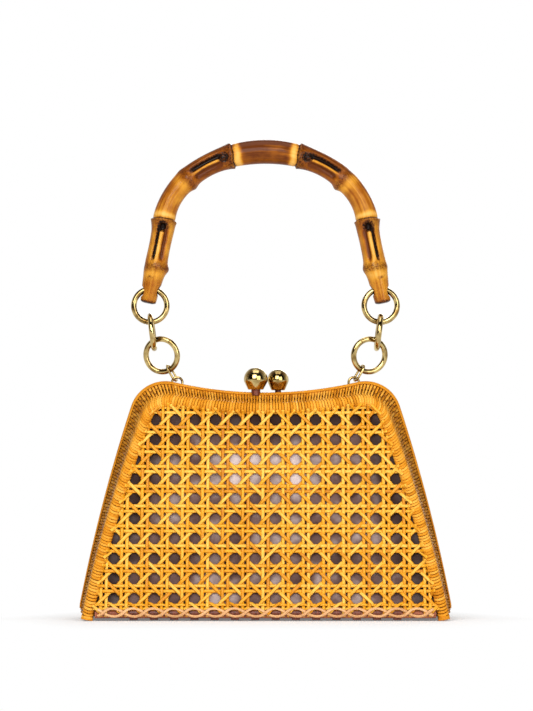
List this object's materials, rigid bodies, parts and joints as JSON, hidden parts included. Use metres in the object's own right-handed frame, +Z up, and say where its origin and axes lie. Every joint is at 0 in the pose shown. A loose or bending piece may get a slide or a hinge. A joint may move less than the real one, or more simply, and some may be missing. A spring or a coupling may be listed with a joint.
{
  "type": "cane webbing handbag",
  "caption": "Structured top-handle bag of cane webbing and wicker in two hinged halves, with a ball clasp, ring chains and a fluted bamboo handle.",
  "frame": {"origin": "on the floor, under the middle of the base", "axes": "+X to the right of the front, +Y to the back, +Z up"},
  "size_m": [0.2624, 0.0914, 0.3361],
  "materials": {
    "reed": "satin varnish",
    "cane": "glossy varnish",
    "dark_cane": "satin varnish",
    "lining": "plain weave",
    "brass": "polished",
    "stem": "bronze lacquer",
    "bamboo": "glossy varnish"
  },
  "bodies": {
    "basket": {"back_wall": "reed", "back_panel": "cane", "back_bottom_rod": "dark_cane", "back_lining": "lining", "back_clasp_stem": "stem", "back_clasp_ball": "brass", "base_panel": "reed", "front_lashings": "dark_cane", "back_lashings": "dark_cane", "left_staple": "brass", "right_staple": "brass"},
    "front_half": {"front_wall": "reed", "front_panel": "cane", "front_bottom_rod": "dark_cane", "front_lining": "lining", "front_clasp_stem": "stem", "front_clasp_ball": "brass"},
    "left_link": {"left_link": "brass"},
    "left_lower_ring": {"left_lower_ring": "brass"},
    "left_middle_ring": {"left_middle_ring": "brass"},
    "left_upper_ring": {"left_upper_ring": "brass"},
    "right_link": {"right_link": "brass"},
    "right_lower_ring": {"right_lower_ring": "brass"},
    "right_middle_ring": {"right_middle_ring": "brass"},
    "right_upper_ring": {"right_upper_ring": "brass"},
    "handle": {"bamboo_handle": "bamboo"}
  },
  "joints": [
    {"name": "front_opening", "type": "hinge", "parent": "basket", "child": "front_half", "pos_m": [0, -0.041, 0.005], "axis": [1, 0, 0], "range_deg": [0, 35]},
    {"name": "handle_swing", "type": "hinge", "parent": "basket", "child": "left_link", "pos_m": [-0.0638, 0.003, 0.16856], "axis": [1, 0, 0], "range_deg": [-20, 20]},
    {"name": "left_lower_swing", "type": "hinge", "parent": "left_link", "child": "left_lower_ring", "pos_m": [-0.06715, 0.003, 0.17437], "axis": [1, 0, 0], "range_deg": [-20, 20]},
    {"name": "left_middle_swing", "type": "hinge", "parent": "left_lower_ring", "child": "left_middle_ring", "pos_m": [-0.07875, 0.003, 0.19446], "axis": [1, 0, 0], "range_deg": [-20, 20]},
    {"name": "left_upper_swing", "type": "hinge", "parent": "left_middle_ring", "child": "left_upper_ring", "pos_m": [-0.08094, 0.003, 0.20782], "axis": [1, 0, 0], "range_deg": [-20, 20]},
    {"name": "grip_fold", "type": "hinge", "parent": "left_upper_ring", "child": "handle", "pos_m": [-0.08094, 0.003, 0.22961], "axis": [1, 0, 0], "range_deg": [-90, 30]},
    {"name": "right_link_swing", "type": "hinge", "parent": "basket", "child": "right_link", "pos_m": [0.0638, 0.003, 0.16856], "axis": [1, 0, 0], "range_deg": [-20, 20]},
    {"name": "right_lower_swing", "type": "hinge", "parent": "right_link", "child": "right_lower_ring", "pos_m": [0.06715, 0.003, 0.17437], "axis": [1, 0, 0], "range_deg": [-20, 20]},
    {"name": "right_middle_swing", "type": "hinge", "parent": "right_lower_ring", "child": "right_middle_ring", "pos_m": [0.07875, 0.003, 0.19446], "axis": [1, 0, 0], "range_deg": [-20, 20]},
    {"name": "right_upper_swing", "type": "hinge", "parent": "right_middle_ring", "child": "right_upper_ring", "pos_m": [0.08094, 0.003, 0.20782], "axis": [1, 0, 0], "range_deg": [-20, 20]}
  ],
  "couplings": [
    {"joint": "left_lower_swing", "follows": "handle_swing", "ratio": 1},
    {"joint": "left_middle_swing", "follows": "handle_swing", "ratio": 1},
    {"joint": "left_upper_swing", "follows": "handle_swing", "ratio": 1},
    {"joint": "right_link_swing", "follows": "handle_swing", "ratio": 1},
    {"joint": "right_lower_swing", "follows": "handle_swing", "ratio": 1},
    {"joint": "right_middle_swing", "follows": "handle_swing", "ratio": 1},
    {"joint": "right_upper_swing", "follows": "handle_swing", "ratio": 1}
  ]
}
